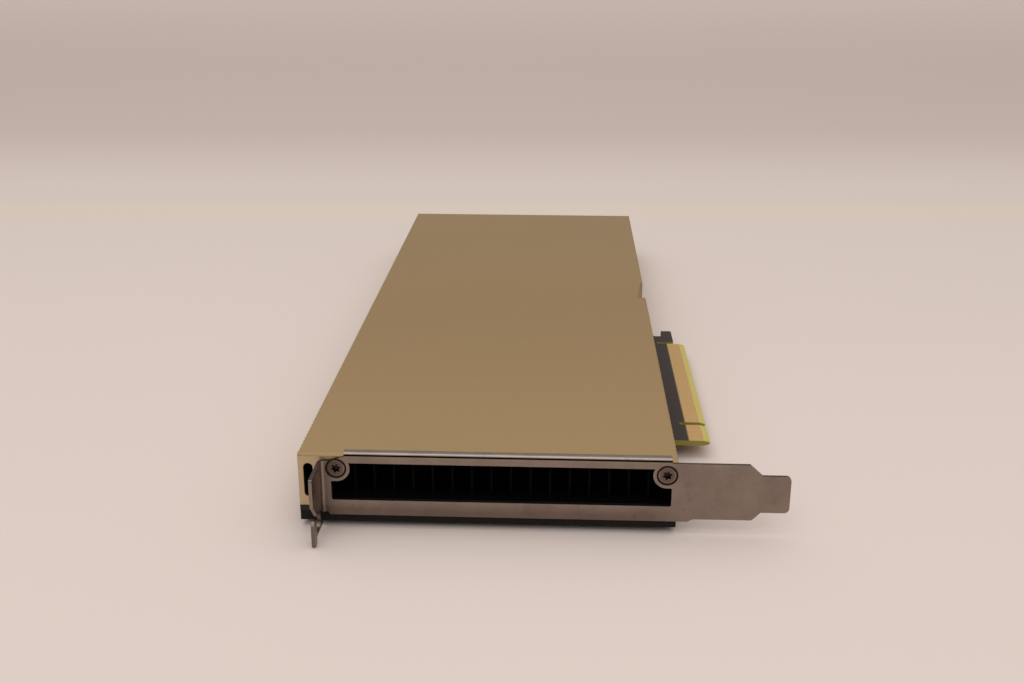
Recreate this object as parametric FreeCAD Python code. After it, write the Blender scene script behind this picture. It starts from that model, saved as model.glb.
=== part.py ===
import FreeCAD, Part
import math
import os

from FreeCAD import Vector

# A passive accelerator card: one slot wide, full height, cooled by the air of the server it sits in.
# The air enters through the bracket's window, passes between the fins and leaves at the rear.
#
# Lengths are in millimetres. X runs to the edge connector, Y away from the bracket, Z up.
# Sizes are worked out in the card's own frame: x = 0 on the cover's centre line, y = 0 on the
# cover's front face, z = 0 on the underside of the backplate. The last section moves every
# piece to the row's frame, whose origin is the bottom centre of the whole card.

# ---- Overall sizes -----------------------------------------------------------------------
card_length = 266.7
cover_width = 97.4
solder_side_height = 2.67
board_thickness = 1.57
component_side_height = 14.47

# ---- Cover -------------------------------------------------------------------------------
roof_thickness = 1.2
side_wall = 1.2
front_wall = 2.0
groove_pitch = 2.2
groove_mouth = 1.4
groove_depth = 0.45
groove_end_land = 1.6
front_edge_break = 0.5
slot_width = 2.45
slot_length = 9.45
slot_inset = 1.4
slot_bottom_height = 6.7
recess_start = 139.4
recess_length = 18.6
recess_depth = 1.5
recess_chamfer = 1.5
recess_backing = 1.3
cover_pad_half = 2.3
extender_block_width = 7.0
extender_block_length = 9.0
extender_hole_radius = 1.25
extender_hole_depth = 7.0

# ---- Folded bracket ----------------------------------------------------------------------
sheet = 0.86
bracket_length = 120.65
tab_inset = 5.24
tab_depth = 11.43
tab_width = 19.05
tab_top_drop = 1.5
tab_notch_width = 4.42
tab_notch_setback = 6.35
tab_notch_height = 4.74
tab_lead_in_angle = 120.0
tab_prong_depth = 3.0
tab_prong_height = 7.24
tab_prong_radius = 1.3
tab_prong_chamfer = 0.9
tab_web_height = 1.75
tab_corner_radius = 1.2
tab_bend_inner_radius = 0.8
bend_relief_width = 1.4
bend_relief_height = 0.8
bracket_bottom_height = 2.1
step_offset = 2.75
step_run = 1.4
step_rise = 0.75
tongue_width = 10.19
tongue_height = 5.1
tongue_length = 7.2
tongue_radius = 1.3
shoulder_top_run = 3.3
shoulder_bottom_run = 2.2
face_top_drop = 0.4
crest_start_offset = 8.5
crest_end_offset = 11.3
lip_left_offset = 12.1
lip_right_offset = 1.6
lip_reach = 1.4
lip_bend_inner_radius = 0.2
window_left_inset = 8.55
window_right_inset = 1.5
window_bottom_height = 6.3
window_height = 10.4
window_radius = 0.5
ear_radius = 3.6

# ---- Bracket screws ----------------------------------------------------------------------
left_screw_inset = 9.95
left_screw_height = 15.2
right_screw_inset = 2.75
right_screw_height = 15.0
bracket_screw_radius = 1.25
bracket_screw_head_radius = 2.35
bracket_screw_head_rim = 0.15
bracket_screw_head_bevel = 0.3
bracket_screw_head_gap = 0.12
bracket_screw_length = 5.4
bracket_boss_radius = 3.3
bracket_boss_length = 6.0
drive_tip_radius = 1.25
drive_root_radius = 0.85
drive_depth = 0.9

# ---- Inlet vanes -------------------------------------------------------------------------
vane_count = 16
vane_pitch = 5.07
vane_thickness = 0.55
vane_setback = 1.1
vane_depth = 9.0
vane_frame_depth = 1.2
vane_bar = 0.7

# ---- Circuit board -----------------------------------------------------------------------
finger_start = 45.75
finger_near_length = 11.65
key_width = 1.9
finger_far_length = 71.65
finger_reach = 13.75
finger_corner = 0.6
key_depth = 7.85
bevel_length = 1.8
bevel_height = 0.5
hook_gap = 1.8
hook_gap_depth = 4.2
hook_length = 12.2
hook_reach = 10.1
hook_toe_width = 3.7
hook_toe_length = 5.8
contact_pitch = 1.0
contact_width = 0.7
contact_length = 3.95
contact_thickness = 0.05
contact_key_margin = 0.55
near_contacts = 11
far_contacts = 71

# ---- Backplate and its screws ------------------------------------------------------------
plate_floor = 1.0
plate_rim = 1.6
plate_pad_half = 2.6
mount_inset = 4.0
mount_front_inset = 16.0
mount_rear_inset = 26.7
mount_row_count = 3
plate_screw_radius = 0.95
plate_screw_head_radius = 1.8
plate_screw_head_height = 0.9
plate_screw_grip = 5.0
thread_clearance = 0.03
board_hole_clearance = 0.25
fit_clearance = 0.1

# ---- Cooling -----------------------------------------------------------------------------
fins_start = 24.0
fins_rear_space = 16.7
fins_width = 82.0
fin_pitch = 2.2
fin_thickness = 0.4
fin_top_gap = 0.2
cold_plate_margin = 1.0
cold_plate_thickness = 2.0

# ---- Processor and memory ----------------------------------------------------------------
processor_place = 118.0
package_size = 50.0
package_thickness = 1.6
die_width = 26.0
die_length = 25.0
die_thickness = 0.8
interface_thickness = 0.1
stiffener_width = 4.5
stiffener_thickness = 0.6
stiffener_edge = 0.4
pedestal_size = 34.0
memory_width = 12.0
memory_length = 14.0
memory_thickness = 1.1
memory_pad_thickness = 0.5
memory_gap = 2.0
memory_pitch = 17.0
memory_per_side = 4
pad_edge = 0.5

# ---- Voltage regulator -------------------------------------------------------------------
phase_pitch = 9.4
phase_count = 8
inductor_width = 7.4
inductor_length = 6.8
inductor_height = 4.2
inductor_pad_thickness = 0.8
stage_width = 5.0
stage_length = 6.0
stage_height = 0.8
stage_pad_thickness = 0.6
capacitor_width = 4.3
capacitor_length = 7.3
capacitor_height = 1.9
regulator_gap = 2.5
front_bank_place = 62.0
rear_bank_place = 184.0
controller_size = 8.0
controller_height = 0.9
controller_inset = 20.0

# ---- Power socket ------------------------------------------------------------------------
socket_columns = 4
socket_rows = 2
socket_pitch = 4.2
socket_cavity = 3.4
socket_wall = 0.8
socket_length = 13.0
socket_floor = 2.0
socket_inset = 12.0
socket_pin_width = 0.9
socket_pin_end_gap = 2.0

# ---- Spring plate and film ---------------------------------------------------------------
post_offset_x = 20.0
post_offset_y = 33.0
post_radius = 2.4
post_lift = 0.3
post_thread_depth = 3.5
spring_screw_radius = 0.8
spring_head_radius = 1.9
spring_head_height = 0.5
spring_arm_width = 9.0
spring_centre_size = 24.0
spring_thickness = 0.8
film_thickness = 0.2
film_edge = 0.4

# ---- Levels and edges that follow from the sizes above ------------------------------------
half_width = cover_width / 2
board_low = solder_side_height
board_top = board_low + board_thickness
cover_top = board_top + component_side_height
roof_low = cover_top - roof_thickness
inner_half = half_width - side_wall
finger_edge = half_width + finger_reach
finger_mid_start = finger_start + finger_near_length
finger_far_start = finger_mid_start + key_width
finger_end = finger_far_start + finger_far_length

tab_outer = tab_inset - half_width
tab_inner = tab_outer + sheet
tab_front = -sheet - tab_depth
tab_top = cover_top - tab_top_drop
tab_bottom = tab_top - tab_width
tongue_end = tab_outer + bracket_length
tongue_start = tongue_end - tongue_length
tongue_top = tongue_height + tongue_width
face_top = cover_top - face_top_drop
face_low = bracket_bottom_height + step_rise
lip_left = lip_left_offset - half_width
lip_right = half_width - lip_right_offset
lip_top = cover_top + sheet
window_left = window_left_inset - half_width
window_right = half_width - window_right_inset
window_top = window_bottom_height + window_height
left_screw = (left_screw_inset - half_width, left_screw_height)
right_screw = (half_width - right_screw_inset, right_screw_height)
bracket_screws_at = (left_screw, right_screw)

mount_step = (card_length - mount_front_inset - mount_rear_inset) / (mount_row_count - 1)
mount_points = [(side * (half_width - mount_inset), mount_front_inset + row * mount_step)
                for row in range(mount_row_count) for side in (-1, 1)]

fins_end = card_length - fins_rear_space

package_top = board_top + package_thickness
die_top = package_top + die_thickness
cold_plate_low = board_top + inductor_height + inductor_pad_thickness
cold_plate_top = cold_plate_low + cold_plate_thickness
memory_x = package_size / 2 + memory_gap + memory_width / 2
memory_rows = [processor_place + (row - (memory_per_side - 1) / 2) * memory_pitch
               for row in range(memory_per_side)]
memory_points = [(side * memory_x, row) for row in memory_rows for side in (-1, 1)]
phase_xs = [(phase - (phase_count - 1) / 2) * phase_pitch for phase in range(phase_count)]
stage_step = (inductor_length + stage_length) / 2 + regulator_gap
capacitor_step = stage_step + (stage_length + capacitor_length) / 2 + regulator_gap
banks = ((front_bank_place, -1), (rear_bank_place, 1))
inductor_points = [(x, place) for place, _ in banks for x in phase_xs]
stage_points = [(x, place + way * stage_step) for place, way in banks for x in phase_xs]
capacitor_points = [(x, place + way * capacitor_step) for place, way in banks for x in phase_xs]
post_points = [(x, processor_place + y) for x in (-post_offset_x, post_offset_x)
               for y in (-post_offset_y, post_offset_y)]

socket_width = socket_columns * socket_pitch + 2 * socket_wall - (socket_pitch - socket_cavity)
socket_height = socket_rows * socket_pitch + 2 * socket_wall - (socket_pitch - socket_cavity)
socket_left = extender_block_width + socket_inset - half_width
socket_start = card_length - socket_length
spring_top = board_low - film_thickness
spring_low = spring_top - spring_thickness


# ---- Helpers -----------------------------------------------------------------------------
def on_plane(plane, u, v, depth):
    if plane == "XY":
        return Vector(u, v, depth)
    if plane == "XZ":
        return Vector(u, depth, v)
    return Vector(depth, u, v)


def outline(corners):
    """Start, middle and end of each corner (u, v, radius); middle is None at a sharp corner."""
    steps = []
    for index, (u, v, radius) in enumerate(corners):
        here = Vector(u, v, 0)
        if radius == 0:
            steps.append((here, None, here))
            continue
        before = Vector(corners[index - 1][0], corners[index - 1][1], 0)
        following = corners[(index + 1) % len(corners)]
        after = Vector(following[0], following[1], 0)
        back = (before - here).normalize()
        on = (after - here).normalize()
        half_angle = back.getAngle(on) / 2
        reach = radius / math.tan(half_angle)
        middle = here + (back + on).normalize() * (radius / math.sin(half_angle) - radius)
        steps.append((here + back * reach, middle, here + on * reach))
    return steps


def flat_face(corners, plane, depth):
    """Closed face through corners (u, v, radius), with a tangent arc at each rounded corner."""
    steps = outline(corners)
    edges = []
    for index, (start, middle, end) in enumerate(steps):
        left = steps[index - 1][2]
        if left.distanceToPoint(start) > 1e-6:
            edges.append(Part.makeLine(on_plane(plane, left.x, left.y, depth),
                                       on_plane(plane, start.x, start.y, depth)))
        if middle is not None:
            arc = [on_plane(plane, point.x, point.y, depth) for point in (start, middle, end)]
            edges.append(Part.Arc(*arc).toShape())
    return Part.Face(Part.Wire(edges))


def prism(corners, plane, low, high):
    """Solid with this outline in the plane, from low to high along the plane's normal."""
    travel = on_plane(plane, 0, 0, high - low)
    return flat_face(corners, plane, low).extrude(travel)


def sharp(points):
    return [(u, v, 0) for u, v in points]


def rectangle(left, low, right, high, radius=0):
    return [(left, low, radius), (right, low, radius), (right, high, radius), (left, high, radius)]


def box(x_low, x_high, y_low, y_high, z_low, z_high):
    return Part.makeBox(x_high - x_low, y_high - y_low, z_high - z_low, Vector(x_low, y_low, z_low))


def block_at(x, y, width, length, z_low, height):
    """Upright block centred on (x, y)."""
    return box(x - width / 2, x + width / 2, y - length / 2, y + length / 2, z_low, z_low + height)


def blocks(points, width, length, z_low, height):
    """The same block at each point, as a group of separate solids."""
    return Part.makeCompound([block_at(x, y, width, length, z_low, height) for x, y in points])


def rod_z(x, y, radius, z_low, z_high):
    return Part.makeCylinder(radius, z_high - z_low, Vector(x, y, z_low), Vector(0, 0, 1))


def rod_y(x, z, radius, y_low, y_high):
    return Part.makeCylinder(radius, y_high - y_low, Vector(x, y_low, z), Vector(0, 1, 0))


def joined(shapes):
    whole = shapes[0].multiFuse(shapes[1:])
    return whole.removeSplitter()


# ---- Cover -------------------------------------------------------------------------------
def grooved_outline():
    """The cover's outline from above, with a row of shallow grooves down each long side."""
    groove_count = int((card_length - 2 * groove_end_land - groove_mouth) / groove_pitch) + 1
    first = (card_length - (groove_count - 1) * groove_pitch) / 2
    centres = [first + index * groove_pitch for index in range(groove_count)]
    inner = half_width - groove_depth
    right = [(half_width, 0)]
    for centre in centres:
        right.append((half_width, centre - groove_mouth / 2))
        right.append((inner, centre))
        right.append((half_width, centre + groove_mouth / 2))
    right.append((half_width, card_length))
    left = [(-x, y) for x, y in reversed(right)]
    return sharp(right + left)


def duct_corners():
    """The opening in the cover's front wall, which the bracket's window looks into."""
    return rectangle(window_left - fit_clearance, window_bottom_height - vane_bar,
                     inner_half, roof_low)


def bracket_boss(x, z, radius, y_low, y_high):
    """Round boss behind a bracket screw, trimmed to the inside of the cover's walls."""
    room = box(-inner_half - side_wall / 2, inner_half + side_wall / 2, y_low, y_high,
               board_top, cover_top - roof_thickness / 2)
    return rod_y(x, z, radius, y_low, y_high).common(room)


def edge_recess():
    """Finger recess in the right edge: deepest at its front end, running out to nothing."""
    outside = half_width + recess_depth

    def section(place, depth, chamfer):
        points = [(half_width - depth, board_top), (half_width - depth, cover_top - chamfer),
                  (half_width - depth - chamfer, cover_top), (outside, cover_top),
                  (outside, board_top)]
        corners = [on_plane("XZ", u, v, place) for u, v in points]
        return Part.makePolygon(corners + corners[:1])

    run_out = groove_depth / recess_depth
    near = section(recess_start, recess_depth, recess_chamfer)
    far = section(recess_start + recess_length, recess_depth * run_out, recess_chamfer * run_out)
    return Part.makeLoft([near, far], True, True)


def front_slot():
    """Round-ended slot through the front wall, beside the bracket's tab."""
    left = slot_inset - half_width
    return prism(rectangle(left, slot_bottom_height, left + slot_width,
                           slot_bottom_height + slot_length, slot_width / 2 - fit_clearance / 10),
                 "XZ", -1, front_wall + 1)


def countersink(x, z):
    """Cone that seats a bracket screw's head, open at the bracket's front face."""
    depth = bracket_screw_head_radius - bracket_screw_radius
    start = -sheet + bracket_screw_head_rim
    cone = Part.makeCone(bracket_screw_head_radius, bracket_screw_radius, depth,
                         Vector(x, start, z), Vector(0, 1, 0))
    return cone.fuse(rod_y(x, z, bracket_screw_head_radius + bracket_screw_head_gap, -sheet,
                           start))


def make_top_cover():
    body = prism(grooved_outline(), "XY", board_top, cover_top)
    body = body.cut(box(-inner_half, inner_half, front_wall, card_length, board_top, roof_low))
    added = [bracket_boss(x, z, bracket_boss_radius, 0, bracket_boss_length)
             for x, z in bracket_screws_at]
    body = body.cut(prism(duct_corners(), "XZ", 0, front_wall))
    reach = half_width - side_wall / 2
    for side in (-1, 1):
        near, far = sorted((side * reach, side * (half_width - extender_block_width)))
        added.append(box(near, far, card_length - extender_block_length, card_length,
                         board_top, roof_low))
    for x, y in mount_points:
        inner_x = x - math.copysign(cover_pad_half, x)
        low, high = sorted((inner_x, math.copysign(reach, x)))
        added.append(box(low, high, y - cover_pad_half, y + cover_pad_half, board_top, roof_low))
    backing_low = recess_start - recess_backing
    backing_high = recess_start + recess_length
    added.append(box(inner_half - recess_backing, reach, backing_low, backing_high, board_top,
                     roof_low))
    body = joined([body] + added)
    cuts = [front_slot(), edge_recess()]
    for x, z in bracket_screws_at:
        cuts.append(rod_y(x, z, bracket_screw_radius + thread_clearance, -sheet,
                          bracket_screw_length))
        cuts.append(countersink(x, z))
    for x, y in mount_points:
        cuts.append(rod_z(x, y, plate_screw_radius + thread_clearance, board_top,
                          board_top + plate_screw_grip + fit_clearance))
    for x, z in extender_points():
        cuts.append(rod_y(x, z, extender_hole_radius, card_length - extender_hole_depth,
                          card_length))
    cuts.append(prism(sharp([(0, cover_top), (0, cover_top - front_edge_break),
                             (front_edge_break, cover_top)]), "YZ", -half_width, half_width))
    for cut in cuts:
        body = body.cut(cut)
    return body


def extender_points():
    """Centres of the two threaded holes for a chassis extender, in the rear end face."""
    x = half_width - extender_block_width / 2
    return [(-x, (board_top + cover_top) / 2), (x, (board_top + cover_top) / 2)]


# ---- Folded bracket ----------------------------------------------------------------------
def folded_corner():
    """Section of the fold between tab and face, seen from above."""
    outer_radius = tab_bend_inner_radius + sheet
    fold_end = tab_inner + tab_bend_inner_radius
    return [(tab_outer, 0, outer_radius), (fold_end, 0, 0), (fold_end, -sheet, 0),
            (tab_inner, -sheet, tab_bend_inner_radius),
            (tab_inner, -sheet - tab_bend_inner_radius, 0),
            (tab_outer, -sheet - tab_bend_inner_radius, 0)]


def tab_plate():
    """Screw tab, folded forward: a round-ended notch behind a prong, with a slanted lead-in."""
    fold_start = -sheet - tab_bend_inner_radius
    web_low = tab_bottom + tab_web_height
    prong_back = tab_front + tab_prong_depth
    plate = prism([(fold_start, tab_top, 0), (tab_front, tab_top, tab_corner_radius / 2),
                   (tab_front, tab_bottom, tab_corner_radius),
                   (prong_back, tab_bottom, tab_corner_radius),
                   (prong_back, web_low, 0), (fold_start, web_low, 0)],
                  "YZ", tab_outer, tab_inner)
    return plate.cut(prism(notch_corners(), "YZ", tab_outer, tab_inner))


def notch_corners():
    """Notch outline: lead-in, round end about the screw's centre, then over the prong's top."""
    radius = tab_notch_width / 2
    end_round = radius - fit_clearance
    centre_y = -tab_notch_setback
    centre_z = tab_bottom + tab_notch_height
    angle = math.radians(tab_lead_in_angle)
    lip_y = centre_y + radius * math.cos(angle)
    lip_z = centre_z + radius * math.sin(angle)
    prong_back = tab_front + tab_prong_depth
    prong_top = tab_bottom + tab_prong_height
    outside = tab_front - sheet
    deep = centre_y + radius
    return [(outside, lip_z + lip_y - outside, 0), (lip_y, lip_z, 0),
            (lip_y, centre_z + radius, 0), (deep, centre_z + radius, end_round),
            (deep, centre_z - radius, end_round), (prong_back, centre_z - radius, radius / 2),
            (prong_back, prong_top, tab_prong_radius), (tab_front + tab_prong_chamfer, prong_top, 0),
            (tab_front, prong_top - tab_prong_chamfer, 0),
            (outside, prong_top - tab_prong_chamfer, 0)]


def face_plate():
    """The flat face with its tongue; the window and screw seats are cut later."""
    fold_end = tab_inner + tab_bend_inner_radius
    relief = fold_end + bend_relief_width - bend_relief_height
    step_start = half_width + step_offset
    corners = [(fold_end, bracket_bottom_height + bend_relief_height, 0),
               (relief, bracket_bottom_height + bend_relief_height, 0),
               (relief + bend_relief_height / 2, bracket_bottom_height, 0),
               (step_start, bracket_bottom_height, 0),
               (step_start + step_run, face_low, 0),
               (tongue_start - shoulder_bottom_run, face_low, 0),
               (tongue_start, tongue_height, 0),
               (tongue_end, tongue_height, tongue_radius),
               (tongue_end, tongue_top, tongue_radius),
               (tongue_start, tongue_top, 0),
               (tongue_start - shoulder_top_run, face_top, 0),
               (crest_end_offset - half_width, face_top, 0),
               (crest_start_offset - half_width, tab_top, 0), (fold_end, tab_top, 0)]
    return prism(corners, "XZ", -sheet, 0)


def lip_strip():
    """Stiffening lip, folded back over the cover's front edge."""
    outer_radius = lip_bend_inner_radius + sheet
    section = [(-sheet, tab_top, 0), (0, tab_top, 0), (0, cover_top, lip_bend_inner_radius),
               (lip_reach, cover_top, 0), (lip_reach, lip_top, 0),
               (-sheet, lip_top, outer_radius)]
    return prism(section, "YZ", lip_left, lip_right)


def window_cutter():
    """The window, less a round ear about each screw in its top corners."""
    opening = prism(rectangle(window_left, window_bottom_height, window_right, window_top,
                              window_radius), "XZ", -sheet, 0)
    for x, z in bracket_screws_at:
        side = math.copysign(1, x)
        opening = opening.cut(rod_y(x, z, ear_radius, -sheet, 0))
        near, far = sorted((x, x + side * ear_radius))
        opening = opening.cut(box(near, far, -sheet, 0, z - ear_radius, z + ear_radius))
    return opening


def make_io_bracket():
    fold = prism(folded_corner(), "XY", face_low, tab_top)
    body = joined([face_plate(), fold, tab_plate(), lip_strip()])
    body = body.cut(window_cutter())
    for x, z in bracket_screws_at:
        body = body.cut(rod_y(x, z, bracket_screw_radius + thread_clearance, -sheet, 0))
        body = body.cut(countersink(x, z))
    return body


def make_bracket_screws():
    """Countersunk screws with a six-lobed recess."""
    seat_depth = bracket_screw_head_radius - bracket_screw_radius
    seat = -sheet + bracket_screw_head_rim
    screws = []
    for x, z in bracket_screws_at:
        head = Part.makeCone(bracket_screw_head_radius - bracket_screw_head_bevel,
                             bracket_screw_head_radius, bracket_screw_head_rim,
                             Vector(x, -sheet, z), Vector(0, 1, 0))
        cone = Part.makeCone(bracket_screw_head_radius, bracket_screw_radius, seat_depth,
                             Vector(x, seat, z), Vector(0, 1, 0))
        shank = rod_y(x, z, bracket_screw_radius, seat + seat_depth, bracket_screw_length)
        screw = joined([head, cone, shank])
        screws.append(screw.cut(six_lobe_drive(x, z)))
    return Part.makeCompound(screws)


def six_lobe_drive(x, z):
    """Drive recess with six lobes, their tips and the roots between them cut square."""
    corners = []
    for step in range(24):
        angle = math.radians(15 * step + 7.5)
        radius = drive_tip_radius if (step // 2) % 2 == 0 else drive_root_radius
        corners.append((x + radius * math.cos(angle), z + radius * math.sin(angle)))
    return prism(sharp(corners), "XZ", -sheet, drive_depth - sheet)


# ---- Inlet vanes -------------------------------------------------------------------------
def make_inlet_vanes():
    """Frame behind the cover's front wall, with upright vanes across the duct."""
    left = -inner_half + fit_clearance
    right = inner_half - fit_clearance
    low = board_top + fit_clearance
    high = roof_low - fit_clearance
    back = front_wall + vane_setback + vane_depth
    frame_back = front_wall + vane_frame_depth
    open_low = window_bottom_height
    open_high = roof_low - vane_bar
    frame = box(left, right, front_wall, frame_back, low, high)
    frame = frame.cut(box(window_left, window_right - fit_clearance, front_wall, frame_back,
                          open_low, open_high))
    parts = [frame]
    for z_low, z_high in ((low, open_low), (open_high, high)):
        parts.append(box(window_left, window_right - fit_clearance, frame_back, back,
                         z_low, z_high))
    centre = (window_left + window_right) / 2
    for index in range(vane_count):
        x = centre + (index - (vane_count - 1) / 2) * vane_pitch
        parts.append(box(x - vane_thickness / 2, x + vane_thickness / 2,
                         front_wall + vane_setback, back, open_low, open_high))
    body = joined(parts)
    for x, z in bracket_screws_at:
        side = math.copysign(1, x)
        wide = bracket_boss_radius + fit_clearance
        body = body.cut(rod_y(x, z, wide, 0, bracket_boss_length + fit_clearance))
        near, far = sorted((x, x + side * half_width / 4))
        body = body.cut(box(near, far, 0, bracket_boss_length + fit_clearance, z - wide, cover_top))
    return body


# ---- Circuit board -----------------------------------------------------------------------
def board_corners():
    """Board outline: finger tab with its key notch, then the hook that a slot's latch holds."""
    hook_start = finger_end + hook_gap
    hook_end = hook_start + hook_length
    hook_edge = half_width + hook_reach
    gap_depth = half_width + hook_gap_depth
    toe_inner = hook_edge - hook_toe_width
    latch_floor = hook_end - hook_toe_length
    key_floor = finger_edge - key_depth
    round_end = hook_gap / 2 - fit_clearance / 10
    key_round = key_width / 2 - fit_clearance / 10
    return [(-half_width, 0, 0), (half_width, 0, 0), (half_width, finger_start, 0),
            (finger_edge, finger_start, finger_corner),
            (finger_edge, finger_mid_start, finger_corner / 2),
            (key_floor, finger_mid_start, key_round),
            (key_floor, finger_far_start, key_round),
            (finger_edge, finger_far_start, finger_corner / 2),
            (finger_edge, finger_end, finger_corner),
            (gap_depth, finger_end, round_end),
            (gap_depth, hook_start, round_end),
            (hook_edge, hook_start, finger_corner),
            (hook_edge, hook_end, finger_corner),
            (toe_inner, hook_end, finger_corner),
            (toe_inner, latch_floor, finger_corner),
            (half_width, latch_floor, 0), (half_width, card_length, 0),
            (-half_width, card_length, 0)]


def edge_bevels():
    """Wedges that thin the finger tab's edge on both faces, so that it slides into a slot."""
    inner = finger_edge - bevel_length
    wedges = []
    for z, way in ((board_top, -1), (board_low, 1)):
        wedges.append(prism(sharp([(inner, z), (finger_edge, z), (finger_edge, z + way * bevel_height)]),
                            "XZ", finger_start, finger_end))
    return wedges


def make_circuit_board():
    board = prism(board_corners(), "XY", board_low, board_top)
    for wedge in edge_bevels():
        board = board.cut(wedge)
    for x, y in mount_points:
        board = board.cut(rod_z(x, y, plate_screw_radius + board_hole_clearance, board_low,
                                board_top))
    for x, y in post_points:
        board = board.cut(rod_z(x, y, spring_screw_radius + board_hole_clearance, board_low,
                                board_top))
    return board


def contact_rows():
    """Centre of each contact along the card, either side of the key notch."""
    near_last = finger_mid_start - contact_key_margin
    far_first = finger_far_start + contact_key_margin
    near = [near_last - index * contact_pitch for index in range(near_contacts)]
    far = [far_first + index * contact_pitch for index in range(far_contacts)]
    return near + far


def make_edge_contacts():
    outer = finger_edge - bevel_length
    contacts = []
    for y in contact_rows():
        low = y - contact_width / 2
        high = y + contact_width / 2
        contacts.append(box(outer - contact_length, outer, low, high, board_top,
                            board_top + contact_thickness))
        contacts.append(box(outer - contact_length, outer, low, high,
                            board_low - contact_thickness, board_low))
    return Part.makeCompound(contacts)


# ---- Backplate ---------------------------------------------------------------------------
def make_backplate():
    body = box(-half_width, half_width, 0, card_length, 0, board_low)
    body = body.cut(box(plate_rim - half_width, half_width - plate_rim, plate_rim,
                        card_length - plate_rim, plate_floor, board_low))
    pads = []
    for x, y in mount_points:
        inner_x = x - math.copysign(plate_pad_half, x)
        low, high = sorted((inner_x, math.copysign(half_width - plate_rim / 2, x)))
        pads.append(box(low, high, y - plate_pad_half, y + plate_pad_half, 0, board_low))
    body = joined([body] + pads)
    for x, y in mount_points:
        body = body.cut(rod_z(x, y, plate_screw_radius + board_hole_clearance, 0, board_low))
        body = body.cut(rod_z(x, y, plate_screw_head_radius + fit_clearance, 0,
                              plate_screw_head_height))
    return body


def make_backplate_screws():
    screws = []
    for x, y in mount_points:
        head = rod_z(x, y, plate_screw_head_radius, 0, plate_screw_head_height)
        shank = rod_z(x, y, plate_screw_radius, plate_screw_head_height,
                      board_top + plate_screw_grip)
        screws.append(joined([head, shank]))
    return Part.makeCompound(screws)


# ---- Cooling -----------------------------------------------------------------------------
def make_cold_plate():
    """Plate that spreads the heat, with pedestals down to the low chips and four threaded posts."""
    half = fins_width / 2 + cold_plate_margin
    start = fins_start - cold_plate_margin
    end = fins_end + cold_plate_margin
    parts = [box(-half, half, start, end, cold_plate_low, cold_plate_top)]
    interface_top = die_top + interface_thickness
    parts.append(block_at(0, processor_place, pedestal_size, pedestal_size, interface_top,
                          cold_plate_low - interface_top))
    memory_top = board_top + memory_thickness + memory_pad_thickness
    memory_span = (memory_per_side - 1) * memory_pitch + memory_length
    for side in (-1, 1):
        parts.append(block_at(side * memory_x, processor_place, memory_width, memory_span,
                              memory_top, cold_plate_low - memory_top))
    stage_top = board_top + stage_height + stage_pad_thickness
    stage_span = (phase_count - 1) * phase_pitch + stage_width
    for place, way in banks:
        parts.append(block_at(0, place + way * stage_step, stage_span, stage_length, stage_top,
                              cold_plate_low - stage_top))
    post_low = board_top + post_lift
    for x, y in post_points:
        parts.append(rod_z(x, y, post_radius, post_low, cold_plate_low))
    body = joined(parts)
    for x, y in post_points:
        body = body.cut(rod_z(x, y, spring_screw_radius + thread_clearance, post_low,
                              post_low + post_thread_depth))
    return body


def make_fin_stack():
    """Upright fins, each a plate of its own that stands on the cold plate."""
    fin_count = int((fins_width - fin_thickness) / fin_pitch) + 1
    first = -(fin_count - 1) * fin_pitch / 2
    middle = (fins_start + fins_end) / 2
    points = [(first + index * fin_pitch, middle) for index in range(fin_count)]
    return blocks(points, fin_thickness, fins_end - fins_start, cold_plate_top,
                  roof_low - fin_top_gap - cold_plate_top)


# ---- Processor, memory and regulator -----------------------------------------------------
def make_processor_package():
    return block_at(0, processor_place, package_size, package_size, board_top, package_thickness)


def make_processor_die():
    return block_at(0, processor_place, die_width, die_length, package_top, die_thickness)


def make_die_interface():
    return block_at(0, processor_place, die_width, die_length, die_top, interface_thickness)


def make_package_stiffener():
    outer = package_size - 2 * stiffener_edge
    inner = outer - 2 * stiffener_width
    ring = block_at(0, processor_place, outer, outer, package_top, stiffener_thickness)
    return ring.cut(block_at(0, processor_place, inner, inner, package_top, stiffener_thickness))


def make_memory_chips():
    return blocks(memory_points, memory_width, memory_length, board_top, memory_thickness)


def make_memory_pads():
    return blocks(memory_points, memory_width - 2 * pad_edge, memory_length - 2 * pad_edge,
                  board_top + memory_thickness, memory_pad_thickness)


def make_inductors():
    return blocks(inductor_points, inductor_width, inductor_length, board_top, inductor_height)


def make_inductor_pads():
    return blocks(inductor_points, inductor_width - 2 * pad_edge, inductor_length - 2 * pad_edge,
                  board_top + inductor_height, inductor_pad_thickness)


def make_power_stages():
    return blocks(stage_points, stage_width, stage_length, board_top, stage_height)


def make_power_stage_pads():
    return blocks(stage_points, stage_width - 2 * pad_edge, stage_length - 2 * pad_edge,
                  board_top + stage_height, stage_pad_thickness)


def make_bulk_capacitors():
    return blocks(capacitor_points, capacitor_width, capacitor_length, board_top, capacitor_height)


def make_board_controller():
    return block_at(0, card_length - controller_inset, controller_size, controller_size, board_top,
                    controller_height)


# ---- Power socket ------------------------------------------------------------------------
def socket_cavities():
    """Left edge, bottom and index of each cavity in the socket's mouth."""
    low = board_top + socket_wall
    return [(socket_left + socket_wall + column * socket_pitch, low + row * socket_pitch)
            for column in range(socket_columns) for row in range(socket_rows)]


def make_power_socket():
    body = box(socket_left, socket_left + socket_width, socket_start, card_length, board_top,
               board_top + socket_height)
    for x, z in socket_cavities():
        body = body.cut(box(x, x + socket_cavity, socket_start + socket_floor, card_length,
                            z, z + socket_cavity))
    return body


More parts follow.
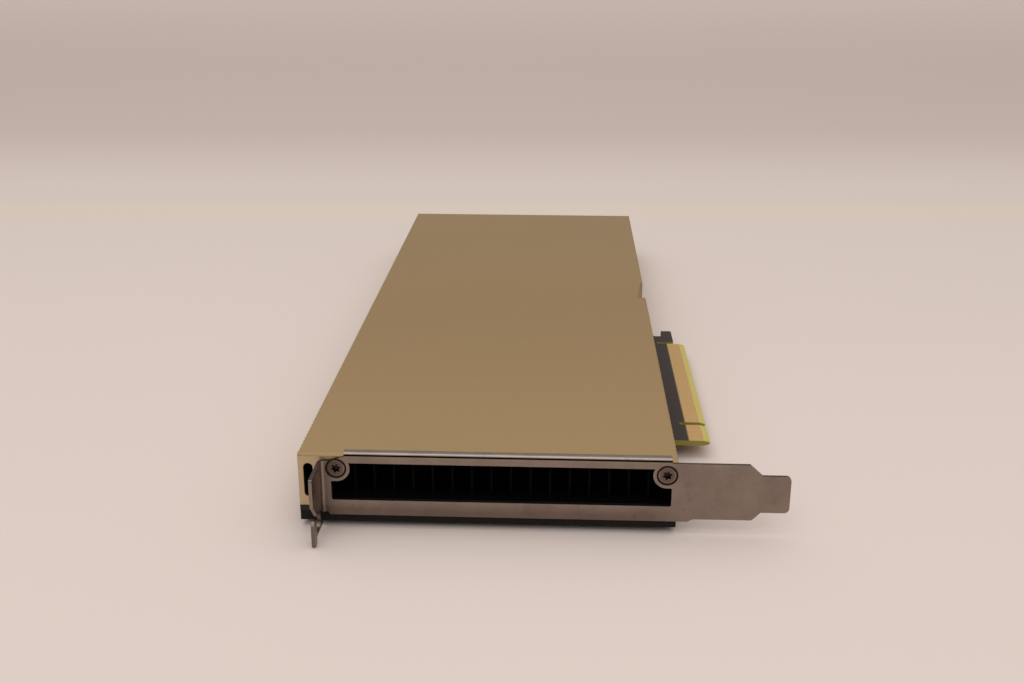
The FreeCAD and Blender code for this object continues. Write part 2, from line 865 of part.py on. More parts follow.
def make_power_contacts():
    """Square pins, each seated on the floor of its cavity."""
    margin = (socket_cavity - socket_pin_width) / 2
    pins = []
    for x, z in socket_cavities():
        pins.append(box(x + margin, x + margin + socket_pin_width, socket_start + socket_floor,
                        card_length - socket_pin_end_gap, z + margin,
                        z + margin + socket_pin_width))
    return Part.makeCompound(pins)


# ---- Spring plate and film ---------------------------------------------------------------
def make_spring_plate():
    """Cross-shaped leaf spring under the board, one arm to each post."""
    parts = [block_at(0, processor_place, spring_centre_size, spring_centre_size, spring_low,
                      spring_thickness)]
    reach = math.hypot(post_offset_x, post_offset_y)
    for way in (-1, 1):
        arm = box(-reach - spring_arm_width / 2, reach + spring_arm_width / 2,
                  -spring_arm_width / 2, spring_arm_width / 2, spring_low, spring_top)
        angle = math.degrees(math.atan2(way * post_offset_y, post_offset_x))
        arm.rotate(Vector(0, 0, 0), Vector(0, 0, 1), angle)
        arm.translate(Vector(0, processor_place, 0))
        parts.append(arm)
    body = joined(parts)
    for x, y in post_points:
        body = body.cut(rod_z(x, y, spring_screw_radius + fit_clearance, spring_low, spring_top))
    return body


def make_spring_plate_screws():
    top = board_top + post_lift + post_thread_depth - fit_clearance
    screws = []
    for x, y in post_points:
        head = rod_z(x, y, spring_head_radius, spring_low - spring_head_height, spring_low)
        screws.append(joined([head, rod_z(x, y, spring_screw_radius, spring_low, top)]))
    return Part.makeCompound(screws)


def make_insulator_film():
    inset = plate_rim + film_edge
    film = box(inset - half_width, half_width - inset, inset, card_length - inset, spring_top,
               board_low)
    wide = plate_pad_half + film_edge
    for x, y in mount_points:
        low, high = sorted((x - math.copysign(wide, x), math.copysign(half_width, x)))
        film = film.cut(box(low, high, y - wide, y + wide, spring_top, board_low))
    for x, y in post_points:
        hole = 2 * (spring_screw_radius + board_hole_clearance)
        film = film.cut(block_at(x, y, hole, hole, spring_top, film_thickness))
    return film


# ---- Export ------------------------------------------------------------------------------
row_shift = Vector(-(tongue_end - half_width) / 2, -(card_length + tab_front) / 2, -tab_bottom)

pieces = {
    "io_bracket": make_io_bracket,
    "bracket_screws": make_bracket_screws,
    "top_cover": make_top_cover,
    "inlet_vanes": make_inlet_vanes,
    "circuit_board": make_circuit_board,
    "edge_contacts": make_edge_contacts,
    "backplate": make_backplate,
    "backplate_screws": make_backplate_screws,
    "cold_plate": make_cold_plate,
    "fin_stack": make_fin_stack,
    "processor_package": make_processor_package,
    "processor_die": make_processor_die,
    "die_interface": make_die_interface,
    "package_stiffener": make_package_stiffener,
    "memory_chips": make_memory_chips,
    "memory_pads": make_memory_pads,
    "power_stages": make_power_stages,
    "power_stage_pads": make_power_stage_pads,
    "inductors": make_inductors,
    "inductor_pads": make_inductor_pads,
    "bulk_capacitors": make_bulk_capacitors,
    "board_controller": make_board_controller,
    "power_socket": make_power_socket,
    "power_contacts": make_power_contacts,
    "spring_plate": make_spring_plate,
    "spring_plate_screws": make_spring_plate_screws,
    "insulator_film": make_insulator_film,
}

os.makedirs("parts", exist_ok=True)
for name, make in pieces.items():
    shape = make()
    shape.translate(row_shift)
    shape.exportStep("parts/" + name + ".step")
    size = shape.BoundBox
    print(f"{name:22s} solids {len(shape.Solids):4d}  volume {shape.Volume:10.1f} mm3  "
          f"x {size.XMin:8.2f} {size.XMax:8.2f}  y {size.YMin:8.2f} {size.YMax:8.2f}  "
          f"z {size.ZMin:6.2f} {size.ZMax:6.2f}")
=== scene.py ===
# %% [markdown]
# # A passive accelerator card
# The card is one slot wide: a gold anodised cover over a black backplate, a folded steel bracket
# in front, and an edge connector on the right. Every shape is in the CAD frame's solids, so no
# piece is added here. This lesson gives the solids their finishes and sets up a small studio.

# %% Load the frame
import math

import bmesh
import bpy
from mathutils import Matrix, Vector


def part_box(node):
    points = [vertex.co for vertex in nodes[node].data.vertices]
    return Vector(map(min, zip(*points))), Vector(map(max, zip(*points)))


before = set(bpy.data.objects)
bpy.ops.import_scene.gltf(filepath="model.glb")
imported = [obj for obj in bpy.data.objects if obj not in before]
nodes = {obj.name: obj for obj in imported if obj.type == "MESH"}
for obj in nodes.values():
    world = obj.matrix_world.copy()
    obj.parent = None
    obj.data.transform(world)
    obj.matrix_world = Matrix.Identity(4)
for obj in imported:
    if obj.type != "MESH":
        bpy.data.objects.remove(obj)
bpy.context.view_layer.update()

MM = 0.001


def in_mm(lengths):
    """Lengths turned from metres into millimetres, rounded for printing."""
    return [round(length / MM, 2) for length in lengths]


# %% [markdown]
# ## The card's own origin
# The frame's origin is the bottom centre of the whole card. It is easier to think from the cover:
# x = 0 on its centre line, y = 0 at its front face and z = 0 on the underside of the backplate.
# The boxes of the cover and the backplate give that place and the card's size, so neither is
# typed in, and the finishes below follow the card if it changes.

# %% Find the card's own origin and size
cover_low, cover_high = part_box("top_cover")
plate_low, plate_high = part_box("backplate")
origin = Vector(((cover_low.x + cover_high.x) / 2, cover_low.y, plate_low.z))
half_width, card_length, card_top = (cover_high - origin) / MM
print("card origin in mm:", in_mm(origin))
print("half width, length and top in mm:", in_mm(cover_high - origin))

# %% [markdown]
# ## Sums with sockets
# A procedural finish is mostly arithmetic on masks and noises. Wiring Math nodes by hand hides
# that arithmetic, so a small class wraps an output socket and lets Python's own signs add the
# nodes. The reflected forms make `1 - mask` work as well as `mask - 1`.

# %% The socket class
def connect(tree, place, value):
    """Gives an input a link or a plain value."""
    if isinstance(value, Signal):
        tree.links.new(value.socket, place)
    elif hasattr(place.default_value, "__len__") and not hasattr(value, "__len__"):
        place.default_value = (value,) * len(place.default_value)
    elif hasattr(value, "__len__") and len(value) == 3 and len(place.default_value) == 4:
        place.default_value = (*value, 1)
    else:
        place.default_value = value


class Signal:
    """An output socket that takes part in Python sums."""

    def __init__(self, tree, socket):
        self.tree = tree
        self.socket = socket

    def math(self, operation, *values):
        node = self.tree.nodes.new("ShaderNodeMath")
        node.operation = operation
        for place, value in zip(node.inputs, values):
            connect(self.tree, place, value)
        return Signal(self.tree, node.outputs[0])

    def __add__(self, other):
        return self.math("ADD", self, other)

    __radd__ = __add__

    def __sub__(self, other):
        return self.math("SUBTRACT", self, other)

    def __rsub__(self, other):
        return self.math("SUBTRACT", other, self)

    def __mul__(self, other):
        return self.math("MULTIPLY", self, other)

    __rmul__ = __mul__

    def __gt__(self, other):
        return self.math("GREATER_THAN", self, other)

    def __lt__(self, other):
        return self.math("LESS_THAN", self, other)

    def size(self):
        return self.math("ABSOLUTE", self)

    def sine(self):
        return self.math("SINE", self)

    def root(self):
        return self.math("SQRT", self)

    def clamped(self):
        """The same signal, held between 0 and 1."""
        held = self.math("ADD", self, 0)
        held.socket.node.use_clamp = True
        return held


# %% [markdown]
# ## One way to add any node
# Every other node, from a Noise to a Bevel, comes from one method. It takes the node's type, then
# its settings, then its sockets, in that order, because a setting can change which sockets a
# node has. Materials and the world share it.

# %% The tree class
class Tree:
    """A node tree that one method fills."""

    def __init__(self, tree):
        self.tree = tree
        self.tree.nodes.clear()

    def node(self, kind, settings=None, inputs=None, out=0):
        """Adds a node and gives back one of its outputs, if it has any."""
        made = self.tree.nodes.new(kind)
        for name, value in (settings or {}).items():
            setattr(made, name, value)
        for name, value in (inputs or {}).items():
            connect(self.tree, made.inputs[name], value)
        return Signal(self.tree, made.outputs[out]) if made.outputs else None

    def axes(self, vector):
        """The three parts of a vector, one signal each."""
        parted = self.node("ShaderNodeSeparateXYZ", None, {0: vector})
        return [Signal(self.tree, socket) for socket in parted.socket.node.outputs]


# %% [markdown]
# ## A finish in millimetres
# A finish is a material with the card's own x, y and z at hand, in millimetres, so that a mask
# can be read off a drawing and the scale of a grain off a ruler. Its helpers make the few things
# that every finish here is built from: a noise, a blend of two colours, a smooth step, the worn
# edges, the direction a face looks in, and a fine relief.

# %% The finish class
def srgb(red, green, blue):
    """A colour as it is seen, 0 to 255, turned into the linear light that shaders use."""
    def line(channel):
        part = channel / 255
        return part / 12.92 if part <= 0.04045 else ((part + 0.055) / 1.055) ** 2.4
    return (line(red), line(green), line(blue))


class Finish(Tree):
    """A material under construction."""

    def __init__(self, name):
        self.material = bpy.data.materials.new(name)
        self.material.use_nodes = True
        super().__init__(self.material.node_tree)
        place = self.node("ShaderNodeTexCoord", out="Object")
        self.mm = self.node("ShaderNodeVectorMath", {"operation": "SCALE"},
                            {"Vector": place, "Scale": 1 / MM})
        card = self.node("ShaderNodeVectorMath", {"operation": "SUBTRACT"},
                         {0: self.mm, 1: tuple(origin / MM)})
        self.x, self.y, self.z = self.axes(card)

    def noise(self, grain, detail=2, stretch=(1, 1, 1), rough=0.5):
        """Noise from 0 to 1 whose blotches are about `grain` millimetres across."""
        place = self.node("ShaderNodeVectorMath", {"operation": "MULTIPLY"},
                          {0: self.mm, 1: tuple(1 / times for times in stretch)})
        return self.node("ShaderNodeTexNoise", None,
                         {"Vector": place, "Scale": 1 / grain, "Detail": detail,
                          "Roughness": rough}, out="Fac")

    def blend(self, mask, first, second):
        """Colour `first` where the mask is 0 and `second` where it is 1."""
        return self.node("ShaderNodeMix", {"data_type": "RGBA"},
                         {0: mask, 6: first, 7: second}, out=2)

    def step(self, value, low, high):
        """0 below low, 1 above high, smooth between."""
        return self.node("ShaderNodeMapRange", {"interpolation_type": "SMOOTHSTEP"},
                         {"Value": value, "From Min": low, "From Max": high})

    def between(self, value, low, high):
        """1 between two limits, 0 outside them."""
        return (value > low) * (value < high)

    def edges(self, radius):
        """A softened normal, and 1 on edges that a fingertip would feel, 0 on flats."""
        contrast = 4
        soft = self.node("ShaderNodeBevel", {"samples": 6}, {"Radius": radius * MM})
        hard = self.node("ShaderNodeNewGeometry", out="Normal")
        same = self.node("ShaderNodeVectorMath", {"operation": "DOT_PRODUCT"},
                         {0: soft, 1: hard}, out="Value")
        return soft, ((1 - same) * contrast).clamped()

    def facing(self):
        """The face's own direction, one signal for each axis."""
        return self.axes(self.node("ShaderNodeNewGeometry", out="True Normal"))

    def bumped(self, height, depth, base=None):
        """Normal for a relief that is `depth` millimetres deep."""
        inputs = {"Height": height, "Distance": depth * MM, "Strength": 1}
        if base is not None:
            inputs["Normal"] = base
        return self.node("ShaderNodeBump", None, inputs, out="Normal")

    def close(self, **values):
        """Adds the shader and the output; socket names are given with _ for a space."""
        named = {name.replace("_", " "): value for name, value in values.items()}
        shader = self.node("ShaderNodeBsdfPrincipled", None, named)
        self.node("ShaderNodeOutputMaterial", None, {"Surface": shader})
        return self.material


# %% [markdown]
# ## Giving a piece its finish
# Each piece of the card is made of one material, so it needs only one finish. The CAD frame's own
# material is cleared first. A list keeps count, to show at the end that no piece was forgotten.

# %% Give a piece its finish
finished = []


def give(name, finish):
    """Gives a piece of the card its one finish, and says so."""
    mesh = nodes[name].data
    mesh.materials.clear()
    mesh.materials.append(finish)
    finished.append(name)
    print(name, "has", finish.name, "with", len(finish.node_tree.nodes), "shader nodes")


# %% [markdown]
# ## The cover's anodised finish
# The cover is aluminium, blasted with fine beads and dyed pale gold. Blasting leaves a grain of
# about a sixth of a millimetre, and the dye varies very slightly over a hand's width. Over its
# first 120 mm the cover is painted paler towards the front, a painted sheen. The front face is
# painted paler still, a painted reflection of the pale floor before it, and the small chamfer
# above it is painted darker, painted shade that dims its highlight. Worn edges are pale. A painted
# texture could be wrapped round the cover, but a grain worked out from the place stays sharp from
# near by and has no seams. The inside is painted near-black, painted shade for the dark hollow,
# and a mask from the place finds it: what lies deeper than a thin skin. The finger recess goes
# deeper than that skin, so it is left out of the mask by the way that it faces.

# %% Gold anodised aluminium
side_skin, roof_skin, front_skin, rear_skin = 0.5, 0.91, 0.6, 0.7
recess_skin = 2.2
front_sheen_reach = 120


def cover_hollow_shade(make, nx):
    """1 on the walls inside the cover, which are painted near-black as painted shade."""
    recess = (nx > 0.2) * (make.x > half_width - recess_skin)
    return ((make.x.size() < half_width - side_skin) * (make.z < card_top - roof_skin)
            * make.between(make.y, front_skin, card_length - rear_skin) * (1 - recess))


def gold_anodised():
    make = Finish("gold_anodised")
    grain = make.noise(0.16, detail=3, rough=0.7)
    cloud = make.noise(60, detail=2)
    soft, worn = make.edges(0.25)
    nx, ny, nz = make.facing()
    dyed = make.blend(cloud, srgb(191, 157, 106), srgb(201, 166, 115))
    # painted sheen: the cover is painted paler towards the front
    front = 1 - make.step(make.y, 0, front_sheen_reach)
    front_sheen = make.blend(front * 0.6, dyed, srgb(220, 184, 134))
    blasted = make.blend(grain, srgb(163, 131, 86), front_sheen)
    # painted reflection: the front face is painted pale, as it mirrors the floor
    front_face_reflection = make.step(ny * -1, 0.85, 0.95)
    floor_reflected = make.blend(front_face_reflection * 0.8, blasted, srgb(206, 188, 156))
    # painted shade: the chamfer is darkened to dim its highlight
    chamfer_shade = make.step(ny * -1, 0.4, 0.6) * make.step(nz, 0.4, 0.6)
    chamfer_shaded = make.blend(chamfer_shade * 0.6, floor_reflected, srgb(120, 100, 72))
    outside = make.blend(worn * 0.2, chamfer_shaded, srgb(214, 188, 150))
    # painted shade: the hollow inside the cover is painted near-black
    inside = cover_hollow_shade(make, nx)
    colour = make.blend(inside, outside, srgb(10, 10, 10))
    return make.close(Base_Color=colour, Metallic=(1 - inside) * 0.9,
                      Roughness=0.36 + grain * 0.1 + inside * 0.3,
                      Normal=make.bumped(grain, 0.02, soft))


give("top_cover", gold_anodised())

# %% [markdown]
# ## Rings about the bracket screws
# Each bracket screw sits in a countersunk seat, with a thin gap round its head. The gap is in the
# solids, but it is too fine to fall into shade by itself, so the finishes draw rings of painted
# shade about the screws as well. The left screw sits a little higher than the right one, so the
# box of both, less a head's radius, gives the two centres.

# %% Find the bracket screws
screw_low, screw_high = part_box("bracket_screws")
head_radius = 2.35
left, _, lowest = (screw_low - origin) / MM
right, _, highest = (screw_high - origin) / MM
screw_spots = [(left + head_radius, highest - head_radius),
               (right - head_radius, lowest + head_radius)]
ring_blur = 0.06
print("bracket screws at x, z in mm:", [(round(x, 2), round(z, 2)) for x, z in screw_spots])


def screw_rings(make, inner, outer):
    """1 between two radii about either bracket screw, seen from in front."""
    rings = 0
    for x, z in screw_spots:
        across = make.x - x
        up = make.z - z
        reach = (across * across + up * up).root()
        within = 1 - make.step(reach, outer, outer + ring_blur)
        rings = rings + make.step(reach, inner - ring_blur, inner) * within
    return rings


# %% [markdown]
# ## The bracket's satin nickel
# The bracket is stamped from sheet less than a millimetre thick and plated in satin nickel. The
# sheet keeps faint rolling lines along its length, and fingers leave blotches and stains. The
# lines are a noise stretched forty times along the bracket. The strip under the window is painted
# darker, a painted reflection of the shaded floor in front of it. Cut edges that look up are
# painted dark, a painted reflection. Rings of painted shade mark the gap round each screw head,
# and a painted dark reflection lines the crease of the lip, whose bend is rubbed smoother than the
# faces. Each of these is one mask from a place or a direction, which is easier to move or to
# weaken than a painted texture.

# %% Satin nickel
sill_low, sill_high = 3.0, 6.6
sill_left, sill_right = 34, 58
reflected_edge_low = 10
bend_low, bend_high = 18.0, 18.4
gap_inner, gap_outer = 2.32, 2.72


def satin_nickel():
    make = Finish("satin_nickel")
    lines = make.noise(0.25, detail=3, stretch=(40, 1, 1), rough=0.6)
    blotch = make.noise(7, detail=4, rough=0.6)
    soft, worn = make.edges(0.14)
    _, ny, nz = make.facing()
    stain = make.step(make.noise(4.5, detail=3, rough=0.7), 0.56, 0.72)
    clean = make.blend(blotch, srgb(124, 110, 101), srgb(166, 151, 140))
    stained = make.blend(stain * 0.3, clean, srgb(110, 94, 86))
    rolled = make.blend(lines * 0.25, stained, srgb(120, 104, 95))
    # painted reflection: the strip under the window is darkened as it mirrors the shaded floor
    sill_shade = (1 - make.step(make.z, sill_low, sill_high)) * (1 - make.step(make.x, sill_left, sill_right))
    sill_shaded = make.blend(sill_shade * 0.5, rolled, srgb(92, 78, 71))
    # painted reflection: edges that look up are painted dark
    upward_edge_reflection = make.step(nz, 0.7, 0.9) * make.between(make.z, reflected_edge_low, bend_high)
    top_edges_reflected = make.blend(upward_edge_reflection * 0.85, sill_shaded, srgb(58, 44, 38))
    # painted shade in the gap round each screw head
    gap_shade = screw_rings(make, gap_inner, gap_outer)
    gap_shaded = make.blend(gap_shade, top_edges_reflected, srgb(40, 31, 27))
    bend = make.step(make.z, bend_low, bend_high)
    # painted reflection: the crease of the lip is painted dark
    crease_reflection = bend * make.step(nz, 0.05, 0.2) * (1 - make.step(nz, 0.45, 0.6)) * (ny < 0)
    crease_reflected = make.blend(crease_reflection, gap_shaded, srgb(30, 22, 19))
    colour = make.blend(worn * 0.2 * (1 - bend), crease_reflected, srgb(205, 190, 176))
    return make.close(Base_Color=colour, Metallic=1.0,
                      Roughness=0.25 + blotch * 0.1 + lines * 0.06 + gap_shade * 0.3 - bend * 0.16,
                      Normal=make.bumped(lines, 0.005, soft))


give("io_bracket", satin_nickel())

# %% [markdown]
# ## The bracket's screws
# These are nickel-plated steel, a little browner and darker than the bracket. The flat of the head
# has a paler rim, a painted highlight, and the floor of the six-lobe recess is dark, because little
# light gets down to it. The same rings find the rim, and depth behind the face of the head finds
# the recess.

# %% Screw steel
rim_inner, rim_outer = 1.95, 2.2
recess_radius = 1.4
recess_top, recess_floor = -0.8, -0.5


def screw_steel():
    make = Finish("screw_steel")
    turned = make.noise(0.3, detail=3)
    soft, worn = make.edges(0.1)
    face = make.blend(turned, srgb(84, 71, 65), srgb(132, 114, 104))
    # painted highlight on the rim of the head
    rim_highlight = make.blend(screw_rings(make, rim_inner, rim_outer) * 0.6, face, srgb(158, 140, 128))
    recess = make.step(make.y, recess_top, recess_floor) * screw_rings(make, -1, recess_radius)
    sunk = make.blend(recess * 0.9, rim_highlight, srgb(34, 26, 23))
    colour = make.blend(worn * 0.3 * (1 - recess), sunk, srgb(196, 180, 166))
    return make.close(Base_Color=colour, Metallic=1.0, Roughness=0.3 + turned * 0.15,
                      Normal=make.bumped(turned, 0.01, soft))


give("bracket_screws", screw_steel())

# %% [markdown]
# ## Black parts
# The backplate is anodised black and slightly glossy. The vanes behind the bracket are dull black
# plastic with hardly any reflection, and the fins are black too, painted shade that keeps the
# window dark from in front. All three could share one black, but each takes the light in its own
# way: the plate shows a soft sheen and pale worn edges, the vanes show almost nothing, and the fins
# keep the lengthwise grain of rolled strip.

# %% Black anodised, black plastic, black fins
def black_anodised():
    make = Finish("black_anodised")
    grain = make.noise(0.14, detail=3, rough=0.7)
    soft, worn = make.edges(0.2)
    colour = make.blend(worn * 0.3, srgb(13, 12, 11), srgb(52, 48, 45))
    return make.close(Base_Color=colour, Metallic=0.15, Roughness=0.45 + grain * 0.15,
                      Specular_IOR_Level=0.3, Normal=make.bumped(grain, 0.01, soft))


def black_plastic():
    make = Finish("black_plastic")
    grain = make.noise(0.3, detail=3, rough=0.6)
    soft, worn = make.edges(0.15)
    colour = make.blend(worn * 0.1, srgb(6, 6, 6), srgb(20, 20, 19))
    return make.close(Base_Color=colour, Metallic=0.0, Roughness=0.6 + grain * 0.2,
                      Specular_IOR_Level=0.08, Normal=make.bumped(grain, 0.012, soft))


# painted shade: the fins are black so the window stays dark from in front
def black_fins():
    make = Finish("black_fins")
    grain = make.noise(0.5, detail=2, stretch=(1, 12, 1))
    colour = make.blend(grain, srgb(13, 13, 13), srgb(24, 24, 25))
    return make.close(Base_Color=colour, Metallic=0.4, Roughness=0.5 + grain * 0.15)


give("backplate", black_anodised())
give("inlet_vanes", black_plastic())
give("fin_stack", black_fins())

# %% [markdown]
# ## The circuit board
# A dark solder mask covers both faces. Outside the cover, where the board is cut, and on the
# bevelled edge of the finger tab, the bare glass-epoxy shows yellow-green, with its weave in fine
# layers; cuts that run across the tab are painted a deeper olive, painted shade on those upright
# cut faces. Between the cover and the contacts the traces show faintly through the mask, one to
# each contact. The gaps between the contacts take a gold tone as well, because from in front they
# are too fine to be told apart. One mask from the face's direction tells cuts from faces, and
# masks from x and y tell the strips, so the board needs no drawing of its own. The contacts' box
# says where the strips begin and end.

# %% Solder mask and bare laminate
_, board_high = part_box("circuit_board")
contacts_low, contacts_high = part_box("edge_contacts")
end_margin = 0.75
tab_edge = (board_high.x - origin.x) / MM
contact_start = (contacts_low.x - origin.x) / MM
finger_start = (contacts_low.y - origin.y) / MM - end_margin
finger_end = (contacts_high.y - origin.y) / MM + end_margin
bare_edge = 1.7
trace_pitch = 1.0
layers_per_mm = 38 / (2 * math.pi)
print("finger tab in mm: x to", round(tab_edge, 2), " y from", round(finger_start, 2),
      "to", round(finger_end, 2), " contacts from x", round(contact_start, 2))


def board_laminate():
    make = Finish("board_laminate")
    _, ny, nz = make.facing()
    weave = make.noise(0.35, detail=3, stretch=(1, 1, 0.3))
    layers = (make.z * (2 * math.pi * layers_per_mm)).sine() * 0.5 + 0.5
    glass = make.blend(layers * 0.5 + weave * 0.4, srgb(166, 152, 76), srgb(212, 194, 118))
    # painted shade: cut faces across the tab are darkened
    crosswise_shade = make.step(ny.size(), 0.6, 0.9)
    bare_with_cut_shade = make.blend(crosswise_shade * 0.75, glass, srgb(124, 120, 46))

    gold_strip = (make.step(make.x, contact_start - 0.7, contact_start)
                  * make.between(make.y, finger_start, finger_end))
    strip = (make.step(make.x, half_width, half_width + 0.8) * (1 - gold_strip)
             * make.between(make.y, finger_start + 0.25, finger_end - 0.35))
    traces = make.step((make.y * (2 * math.pi / trace_pitch)).sine(), 0.2, 0.7) * strip
    mask_tone = make.blend(make.noise(14, detail=3), srgb(46, 35, 32), srgb(58, 45, 41))
    traced = make.blend(traces * 0.25, mask_tone, srgb(80, 68, 62))
    face = make.blend(gold_strip, traced, srgb(192, 162, 106))

    cut = (1 - make.step(nz.size(), 0.93, 0.99)) * (make.x > half_width + 0.05)
    bevel = make.step(make.x, tab_edge - bare_edge - 0.25, tab_edge - bare_edge)
    masked = (1 - cut) * (1 - bevel)
    return make.close(Base_Color=make.blend(masked, bare_with_cut_shade, face),
                      Roughness=0.72 - masked * 0.3 + weave * 0.1, Specular_IOR_Level=0.15,
                      Normal=make.bumped(traces + weave * 0.3, 0.02))


give("circuit_board", board_laminate())

# %% [markdown]
# ## The edge contacts
# The contacts are plated in hard gold, which is paler and smoother than the cover's dye. Each
# time the card goes into its slot, the springs there scuff them along x, so a faint noise is
# stretched that way. They are separate solids, so their outlines need no mask.

# %% Hard gold
def hard_gold():
    make = Finish("hard_gold")
    scuff = make.noise(0.5, detail=3, stretch=(14, 1, 1))
    colour = make.blend(scuff, srgb(230, 185, 122), srgb(240, 198, 136))
    return make.close(Base_Color=colour, Metallic=1.0, Roughness=0.28 + scuff * 0.08,
                      Normal=make.bumped(scuff, 0.002))


give("edge_contacts", hard_gold())

# %% [markdown]
# ## Inner pieces
# The screws under the card are blackened steel. The pieces inside the cover hardly show, but each
# still gets the finish that it has on such a card, because the card can be opened in another
# scene. They are small and plain, so one helper makes them all: two close tones in a fine grain.

# %% Small finishes
def black_screw():
    make = Finish("black_screw")
    turned = make.noise(0.3, detail=3)
    soft, worn = make.edges(0.1)
    colour = make.blend(worn * 0.5, srgb(24, 23, 22), srgb(90, 86, 82))
    return make.close(Base_Color=colour, Metallic=0.8, Roughness=0.38 + turned * 0.15, Normal=soft)


def speckled(name, dark, light, metal, rough):
    """A plain small finish: two close tones in a fine grain."""
    make = Finish(name)
    tone = make.noise(0.4, detail=3)
    return make.close(Base_Color=make.blend(tone, srgb(*dark), srgb(*light)), Metallic=metal,
                      Roughness=rough + tone * 0.12, Normal=make.bumped(tone, 0.01))


give("backplate_screws", black_screw())
give("spring_plate_screws", black_screw())

# %% Give the inner pieces their finishes
inner_finishes = {
    "cold_plate": ("nickel_plate", (150, 146, 138), (176, 171, 162), 1.0, 0.3),
    "spring_plate": ("spring_steel", (120, 118, 114), (150, 147, 142), 1.0, 0.32),
    "processor_package": ("package_green", (28, 56, 44), (38, 70, 54), 0.0, 0.45),
    "processor_die": ("bare_silicon", (70, 74, 84), (84, 88, 98), 0.8, 0.12),
    "die_interface": ("thermal_paste", (150, 150, 148), (172, 172, 170), 0.0, 0.7),
    "package_stiffener": ("stiffener_steel", (134, 132, 128), (158, 155, 150), 1.0, 0.3),
    "memory_chips": ("memory_resin", (24, 24, 25), (34, 34, 36), 0.0, 0.5),
    "memory_pads": ("thermal_pad_blue", (118, 132, 152), (134, 148, 168), 0.0, 0.8),
    "power_stages": ("stage_resin", (26, 26, 27), (36, 36, 38), 0.0, 0.5),
    "power_stage_pads": ("thermal_pad_grey", (132, 136, 146), (150, 154, 164), 0.0, 0.8),
    "inductors": ("pressed_iron", (62, 62, 64), (84, 84, 86), 0.1, 0.6),
    "inductor_pads": ("thermal_pad_pale", (142, 146, 154), (160, 164, 172), 0.0, 0.8),
    "bulk_capacitors": ("polymer_resin", (40, 36, 30), (56, 50, 42), 0.0, 0.5),
    "board_controller": ("controller_resin", (24, 24, 25), (34, 34, 36), 0.0, 0.5),
    "power_socket": ("nylon_black", (16, 16, 16), (28, 28, 28), 0.0, 0.45),
    "power_contacts": ("tinned_copper", (186, 182, 172), (206, 202, 192), 1.0, 0.25),
    "insulator_film": ("polyester_film", (34, 34, 36), (46, 46, 48), 0.0, 0.3),
}
for piece, choice in inner_finishes.items():
    give(piece, speckled(*choice))
print("finished pieces:", len(finished), "of", len(nodes))

# %% [markdown]
# ## Where the camera stands
# The camera looks down at the bracket end by about nineteen degrees. Its place and angles come
# before the table, because the tone of the table changes with the distance from the lens.

# %% Camera values
camera_place = Vector((4.255, -407.505, 150.24)) * MM
camera_yaw = math.radians(-2.47)
camera_pitch = math.radians(19.31)
camera_roll = math.radians(0.08)
heading = Vector((math.sin(camera_yaw), math.cos(camera_yaw), 0))
print("camera at, in mm:", in_mm(camera_place), " heading:", [round(v, 3) for v in heading])

# %% [markdown]
# ## The table
# The card stands on the lower end of its bracket tab and on the rear edge of its backplate, so
# the table leans by about four tenths of a degree against the card's frame. Behind the card the
# sheet of paper stands for paper that turns up into a wall. A wall that really stood there would
# hide the card from behind, so the sheet lies flat and its tone is painted darker and lighter with
# distance: painted light and shade of paper that curves away.

# %% Find how the table leans
prong_foot = 1.4 * MM
bracket_low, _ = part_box("io_bracket")
rest_front = Vector((0, bracket_low.y + prong_foot, bracket_low.z))
rest_rear = Vector((0, plate_high.y, plate_low.z))
lean = math.atan2(rest_rear.z - rest_front.z, rest_rear.y - rest_front.y)
print("the table leans by", round(math.degrees(lean), 3), "degrees")

# %% A sheet of pale paper
# painted light and shade: these tones stand for a sheet curving up into a wall
backdrop_light_and_shade = [  # where a tone starts and ends to come in, in mm from the lens, and the tone
    (590, 640, (217, 202, 188)),
    (640, 668, (214, 199, 192)),
    (680, 900, (203, 185, 177)),
    (900, 2400, (227, 208, 200)),
]


def pale_paper():
    make = Finish("pale_paper")
    along = make.node("ShaderNodeVectorMath", {"operation": "DOT_PRODUCT"},
                      {0: make.mm, 1: tuple(heading)}, out="Value")
    reach = along - heading.dot(camera_place) / MM
    fibre = make.noise(2.0, detail=4)
    cloud = make.noise(220, detail=2)
    tone = make.blend(cloud, srgb(214, 199, 191), srgb(217, 202, 194))
    for start, end, next_tone in backdrop_light_and_shade:
        tone = make.blend(make.step(reach, start, end), tone, srgb(*next_tone))
    colour = make.blend(fibre * 0.04, tone, srgb(190, 174, 166))
    return make.close(Base_Color=colour, Roughness=0.85, Specular_IOR_Level=0.2)


sheet_half = 4
sheet_mesh = bpy.data.meshes.new("paper_sheet")
grid = bmesh.new()
bmesh.ops.create_grid(grid, x_segments=24, y_segments=24, size=sheet_half)
grid.to_mesh(sheet_mesh)
grid.free()
sheet_mesh.transform(Matrix.Translation(rest_front) @ Matrix.Rotation(lean, 4, "X"))
sheet_mesh.materials.append(pale_paper())
sheet = bpy.data.objects.new("paper_sheet", sheet_mesh)
bpy.context.scene.collection.objects.link(sheet)
print("paper sheet:", len(sheet_mesh.polygons), "faces,", 2 * sheet_half, "m across")

# %% [markdown]
# ## The camera
# The camera could be aimed with a constraint at an empty. Its axes are written out as a matrix
# instead, because a yaw, a pitch and a very small roll are then easy to check one by one.

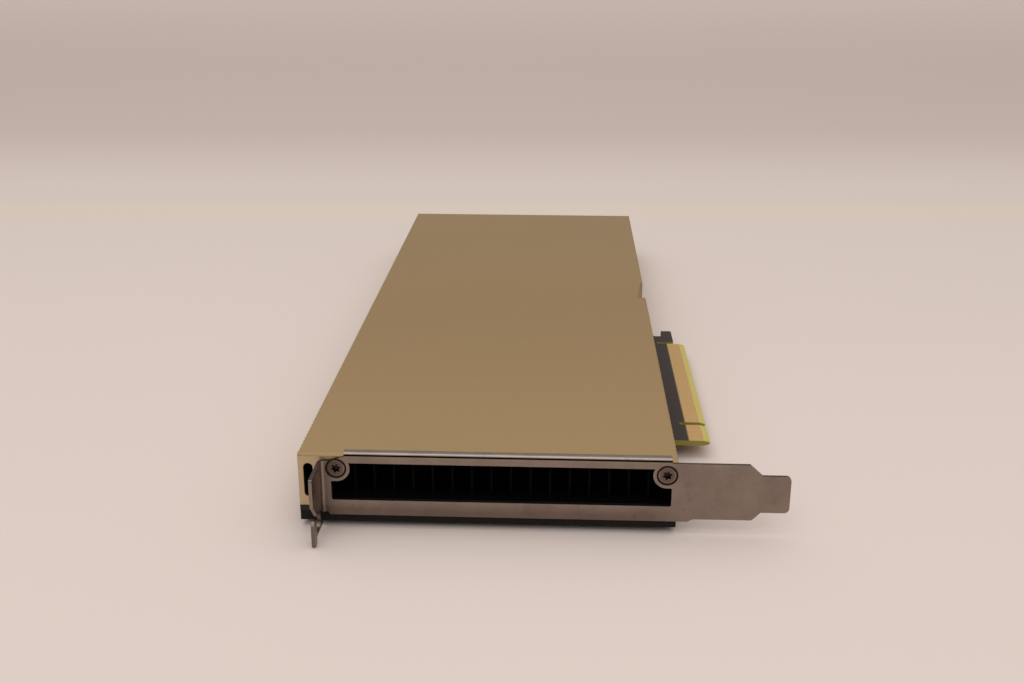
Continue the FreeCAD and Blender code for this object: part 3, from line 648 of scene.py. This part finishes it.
# %% Place the camera
camera_data = bpy.data.cameras.new("view")
camera_data.sensor_width = 36
camera_data.lens = 42.525
camera_data.clip_start = 0.01
camera = bpy.data.objects.new("view", camera_data)
bpy.context.scene.collection.objects.link(camera)
forward = (heading * math.cos(camera_pitch) - Vector((0, 0, math.sin(camera_pitch)))).normalized()
right_hand = Vector((math.cos(camera_yaw), -math.sin(camera_yaw), 0))
overhead = right_hand.cross(forward)
turn = (Matrix((right_hand, overhead, -forward)).transposed()
        @ Matrix.Rotation(camera_roll, 3, "Z"))
camera.matrix_world = Matrix.Translation(camera_place) @ turn.to_4x4()
bpy.context.scene.camera = camera
print("camera lens in mm:", round(camera_data.lens, 3),
      " looks along:", [round(v, 3) for v in forward])

# %% [markdown]
# ## The surroundings
# Metal shows what is round it, so the surroundings matter as much as the lamps. They are brighter
# overhead than at the horizon, which gives the cover its soft gradation. Low down behind the
# camera they are dark, and the bracket mirrors that and keeps its depth. A sky texture could do
# the same, but three sums are easier to change.

# %% World
world = bpy.data.worlds.new("studio")
bpy.context.scene.world = world
world.use_nodes = True
sky = Tree(world.node_tree)
_, away, height = sky.axes(sky.node("ShaderNodeTexCoord", out="Generated"))
behind_camera = (away * -2.2 - 0.45).clamped()
low_down = (1.9 - height * 2.6).clamped()
strength = (height * 0.88 + 0.16).clamped() * (1 - behind_camera * low_down * 0.94)
glow = sky.node("ShaderNodeBackground", None, {"Color": (1.0, 0.99, 0.98), "Strength": strength})
sky.node("ShaderNodeOutputWorld", None, {"Surface": glow})
print("world nodes:", len(world.node_tree.nodes))

# %% [markdown]
# ## The lamps
# A wide softbox hangs over the card and gives the soft shadow under it. A second wide lamp stands
# high behind the camera and fills the front of the card, which the softbox hardly reaches. It
# stands for the light of a whole room, so it is kept out of reflections: the bracket would
# otherwise show it as a bright bar.

# %% Softbox and fill
def area_lamp(name, width, depth, watts, tint, place, tilt=0):
    """A rectangular lamp that looks down, tilted forward by some degrees."""
    data = bpy.data.lights.new(name, "AREA")
    data.shape = "RECTANGLE"
    data.size = width
    data.size_y = depth
    data.energy = watts
    data.color = tint
    lamp = bpy.data.objects.new(name, data)
    lamp.location = place
    lamp.rotation_euler = (math.radians(tilt), 0, 0)
    bpy.context.scene.collection.objects.link(lamp)
    print("lamp:", name, watts, "W at", place)
    return lamp


area_lamp("softbox", 1.4, 0.9, 3.7, (1.0, 0.99, 0.97), (-0.1, -0.2, 1.25))
fill = area_lamp("fill", 1.6, 0.8, 6.5, (1.0, 0.98, 0.97), (0, -1.15, 0.9), tilt=50)
fill.visible_glossy = False

# %% [markdown]
# ## Finish
# The view transform is Standard, so that a colour comes out as it was chosen.

# %% Finish
bpy.context.scene.view_settings.view_transform = "Standard"
